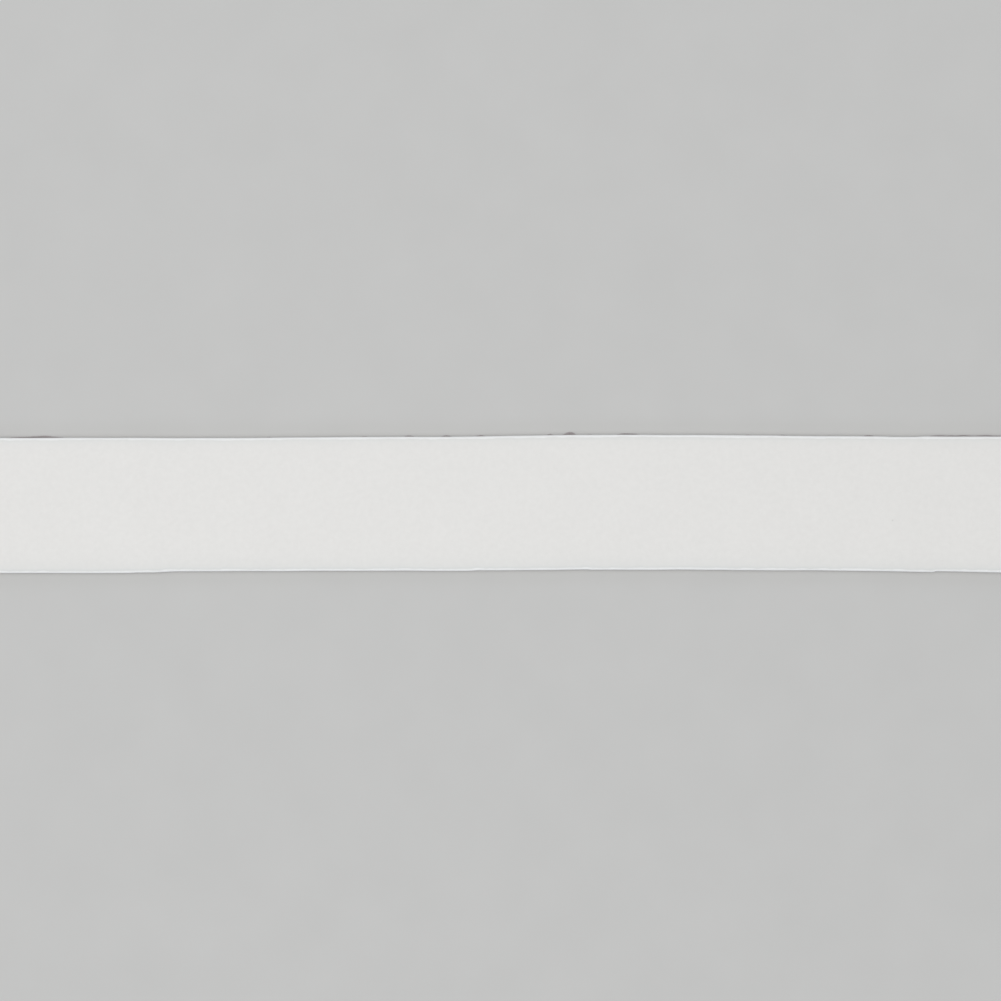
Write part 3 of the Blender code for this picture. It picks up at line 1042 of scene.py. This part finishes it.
def by_the_upper_cut(points):
    """Points given from the cut as points of the strip's own frame, in metres."""
    place, out, height = np.array(points).T * MM
    return np.column_stack([place, np.interp(place, *upper_outline.T) + out, height])


bulges = [bulge(place, *size) for place, size in SLIGHT_BULGES.items()]
fillers = [behind(LONG_HUMP, 1), behind(SMALL_LOOP, 1), behind(SMALL_LOOP, 2)]
loose_paths = [by_the_upper_cut(path) for path in (*long_paths, *bulges, *fillers)]
loose_guide = guide_curve("loose_yarn_paths", loose_paths)
print("loose yarns with the strands behind:", len(loose_paths))

# %% [markdown]
# A loose yarn has untwisted enough to show its plies. A round tube would look like wire, so the
# tree copies each path once for each ply and winds the copies about it, half a turn apart.

# %% Build the twisting tree
TWIST_INPUTS = {
    "object": ("Paths",),
    "count": ("Plies",),
    "number": ("Yarn thickness", "Turn length", "Point pitch"),
    "material": ("Material",),
}
PLY_SIDES = 7
# As shares of the yarn's thickness: how thick a ply is, and how far its middle is from the yarn's
PLY_FULLNESS = 0.54
PLY_REACH = 0.25


def ply_offset(tree, given, ply):
    """From the middle of the yarn to the middle of its ply."""
    length = add(tree, "GeometryNodeSplineParameter").outputs["Length"]
    turns = add(tree, "ShaderNodeMath", {0: length, 1: given["Turn length"]}, operation="DIVIDE")
    share = add(tree, "ShaderNodeMath", {0: ply, 1: given["Plies"]}, operation="DIVIDE")
    turned = add(tree, "ShaderNodeMath", {0: turns, 1: share}, operation="ADD")
    angle = add(tree, "ShaderNodeMath", {0: turned, 1: math.tau}, operation="MULTIPLY")
    sideways = add(tree, "GeometryNodeInputNormal").outputs["Normal"]
    along_it = add(tree, "GeometryNodeInputTangent")
    sockets = {"Vector": sideways, "Axis": along_it, "Angle": angle}
    turned_out = add(tree, "ShaderNodeVectorRotate", sockets, rotation_type="AXIS_ANGLE")
    sockets = {0: given["Yarn thickness"], 1: PLY_REACH}
    reach = add(tree, "ShaderNodeMath", sockets, operation="MULTIPLY")
    sockets = {0: turned_out, "Scale": reach}
    return add(tree, "ShaderNodeVectorMath", sockets, operation="SCALE")


def twisting_tree():
    tree, given = new_tree("twisted_plies", TWIST_INPUTS)
    paths = add(tree, "GeometryNodeObjectInfo", {"Object": given["Paths"]}).outputs["Geometry"]
    smooth = add(tree, "GeometryNodeCurveSplineType", {"Curve": paths}, spline_type="CATMULL_ROM")
    sockets = {"Curve": smooth, "Length": given["Point pitch"]}
    even = add(tree, "GeometryNodeResampleCurve", sockets, mode="LENGTH")
    sockets = {"Geometry": even, "Amount": given["Plies"]}
    plies, ply = add(tree, "GeometryNodeDuplicateElements", sockets, domain="SPLINE").outputs
    dye = add(tree, "FunctionNodeRandomValue", {"ID": ply}, data_type="FLOAT").outputs[1]
    length = add(tree, "GeometryNodeSplineParameter").outputs["Length"]
    for name, value in (("yarn", dye), ("along_yarn", length)):
        sockets = {"Geometry": plies, "Name": name, "Value": value}
        plies = add(tree, "GeometryNodeStoreNamedAttribute", sockets, data_type="FLOAT")
    sockets = {"Geometry": plies, "Offset": ply_offset(tree, given, ply)}
    wound = add(tree, "GeometryNodeSetPosition", sockets)
    sockets = {0: given["Yarn thickness"], 1: PLY_FULLNESS}
    thick = add(tree, "ShaderNodeMath", sockets, operation="MULTIPLY")
    strand = yarn_section(tree, thick, thick, PLY_SIDES)
    sockets = {"Curve": wound, "Profile Curve": strand, "Fill Caps": True}
    end_tree(tree, add(tree, "GeometryNodeCurveToMesh", sockets), given["Material"])
    return tree


twist = twisting_tree()
twist_values = {
    "Paths": loose_guide,
    "Plies": 2,
    "Yarn thickness": YARN_THICKNESS,
    "Turn length": 0.9 * MM,
    "Point pitch": 0.07 * MM,
    "Material": yarn_material,
}
grow("loose_yarns", twist, twist_values)

# %% [markdown]
# ## Cut fibres
#
# A cut through cloth leaves a fine fuzz of fibre ends. They are scattered along both cuts at
# random, and thicker about the loose yarns. Each is a thin, bent, tapered hair with three sides:
# real fibres are 0.015 mm thick, and these are twice that, so that they show at all. The tree
# takes a path to scatter them on, which way is out, and how far they may reach.

# %% Bend each fibre out from its place
FUZZ_INPUTS = {
    "object": ("Path",),
    "count": ("Fibres", "Seed"),
    "number": ("Outward", "Shortest", "Longest", "Thickness"),
    "material": ("Material",),
}
# Lowest and highest (along, out, up) of the way a fibre points, and of how its tip bends away
SPREAD = ((-0.9, 0.35, -0.5), (0.9, 1.0, 0.5))
BEND = ((-0.6, -0.3, -0.5), (0.6, 0.3, 0.3))
# Each draw adds its own number to the seed: 0 for the place, 1 and 2 for these, and this for length
LENGTH_DRAW = 3


def fibre_point(tree, given, fibre, share):
    """Where a fibre's point lies: out from a random place on the path, and bent as it goes."""
    path = add(tree, "GeometryNodeObjectInfo", {"Object": given["Path"]}).outputs["Geometry"]
    sockets = {"ID": fibre, "Seed": given["Seed"]}
    factor = add(tree, "FunctionNodeRandomValue", sockets, data_type="FLOAT").outputs[1]
    sockets = {"Curves": path, "Factor": factor}
    root = add(tree, "GeometryNodeSampleCurve", sockets, mode="FACTOR", use_all_curves=True)
    drawn = []
    for step, (low, high) in enumerate((SPREAD, BEND), start=1):
        seed = add(tree, "ShaderNodeMath", {0: given["Seed"], 1: step}, operation="ADD")
        sockets = {0: low, 1: high, "ID": fibre, "Seed": seed}
        drawn.append(add(tree, "FunctionNodeRandomValue", sockets, data_type="FLOAT_VECTOR"))
    spread, bend = drawn
    flip = add(tree, "ShaderNodeCombineXYZ", {"X": 1.0, "Y": given["Outward"], "Z": 1.0})
    way = add(tree, "ShaderNodeVectorMath", {0: spread, 1: flip}, operation="MULTIPLY")
    seed = add(tree, "ShaderNodeMath", {0: given["Seed"], 1: LENGTH_DRAW}, operation="ADD")
    sockets = {2: given["Shortest"], 3: given["Longest"], "ID": fibre, "Seed": seed}
    length = add(tree, "FunctionNodeRandomValue", sockets, data_type="FLOAT").outputs[1]
    sockets = {0: bend, "Scale": share}
    bent = add(tree, "ShaderNodeVectorMath", sockets, operation="SCALE")
    heading = add(tree, "ShaderNodeVectorMath", {0: way, 1: bent}, operation="ADD")
    far = add(tree, "ShaderNodeMath", {0: share, 1: length}, operation="MULTIPLY")
    step_out = add(tree, "ShaderNodeVectorMath", {0: heading, "Scale": far}, operation="SCALE")
    sockets = {0: root.outputs["Position"], 1: step_out}
    return add(tree, "ShaderNodeVectorMath", sockets, operation="ADD")


# %% Build the fuzz tree
FIBRE_SIDES = 3
FIBRE_POINTS = 4
# A fibre's thickness at its tip, as a share of that at its root
FIBRE_TIP = 0.35


def fuzz_tree():
    tree, given = new_tree("cut_fibres", FUZZ_INPUTS)
    line = add(tree, "GeometryNodeCurvePrimitiveLine", {"Start": (0, 0, 0), "End": (1, 0, 0)})
    hair = add(tree, "GeometryNodeResampleCurve", {"Curve": line, "Count": FIBRE_POINTS}, mode="COUNT")
    sockets = {"Geometry": hair, "Amount": given["Fibres"]}
    hairs, fibre = add(tree, "GeometryNodeDuplicateElements", sockets, domain="SPLINE").outputs
    here = add(tree, "GeometryNodeInputPosition")
    share = add(tree, "ShaderNodeSeparateXYZ", {0: here}).outputs["X"]
    sockets = {"Geometry": hairs, "Name": "guide.share", "Value": share}
    hairs = add(tree, "GeometryNodeStoreNamedAttribute", sockets, data_type="FLOAT")
    bent = fibre_point(tree, given, fibre, share)
    x, y, z = add(tree, "ShaderNodeSeparateXYZ", {0: bent}).outputs
    clear = add(tree, "ShaderNodeMath", {0: z, 1: given["Thickness"]}, operation="MAXIMUM")
    point = add(tree, "ShaderNodeCombineXYZ", {"X": x, "Y": y, "Z": clear})
    placed = add(tree, "GeometryNodeSetPosition", {"Geometry": hairs, "Position": point})
    ring = add(tree, "GeometryNodeCurvePrimitiveCircle", {"Resolution": FIBRE_SIDES, "Radius": 1.0})
    half = add(tree, "ShaderNodeMath", {0: given["Thickness"], 1: 0.5}, operation="MULTIPLY")
    stored = add(tree, "GeometryNodeInputNamedAttribute", {"Name": "guide.share"}, data_type="FLOAT")
    sockets = {"Value": stored.outputs["Attribute"], "To Min": 1.0, "To Max": FIBRE_TIP}
    taper = add(tree, "ShaderNodeMapRange", sockets)
    thin = add(tree, "ShaderNodeMath", {0: taper, 1: half}, operation="MULTIPLY")
    sockets = {"Curve": placed, "Profile Curve": ring, "Scale": thin, "Fill Caps": True}
    end_tree(tree, add(tree, "GeometryNodeCurveToMesh", sockets), given["Material"])
    return tree


fuzz = fuzz_tree()
print("nodes in the fuzz tree:", len(fuzz.nodes))

# %% Grow the fuzz
FUZZ_INSET = 0.06 * MM
FUZZ_HEIGHT = 0.24 * MM

fuzz_lines = {
    side: guide_curve(side + "_fuzz_line", [[(x, y - out * FUZZ_INSET, FUZZ_HEIGHT) for x, y in cut]])
    for side, out, cut in (("lower", -1, lower_outline), ("upper", 1, upper_outline))
}
fuzz_values = {"Thickness": 0.03 * MM, "Material": yarn_material}
sparse = {"Fibres": 260, "Shortest": 0.06 * MM, "Longest": 0.20 * MM}
dense = {"Fibres": 320, "Shortest": 0.10 * MM, "Longest": 0.32 * MM}
for name, path, outward, amount, seed in (
    ("lower_cut_fibres", fuzz_lines["lower"], -1.0, sparse, 11),
    ("upper_cut_fibres", fuzz_lines["upper"], 1.0, sparse, 12),
    ("loose_yarn_fibres", loose_guide, 1.0, dense, 13),
):
    own_values = {"Path": path, "Outward": outward, "Seed": seed}
    grow(name, fuzz, {**fuzz_values, **amount, **own_values})

# %% [markdown]
# ## Putting it together
#
# The trim is limp, but it is one bonded strip, so every layer rides on the one body, and
# together they stand for the solid.

for name, piece in pieces.items():
    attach(piece, "root")
for name in ("coating", "foam", "warp_yarns", "weft_yarns"):
    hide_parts("trim_strip")

# %% Clear the guides
for guide in guides:
    bpy.data.objects.remove(guide)
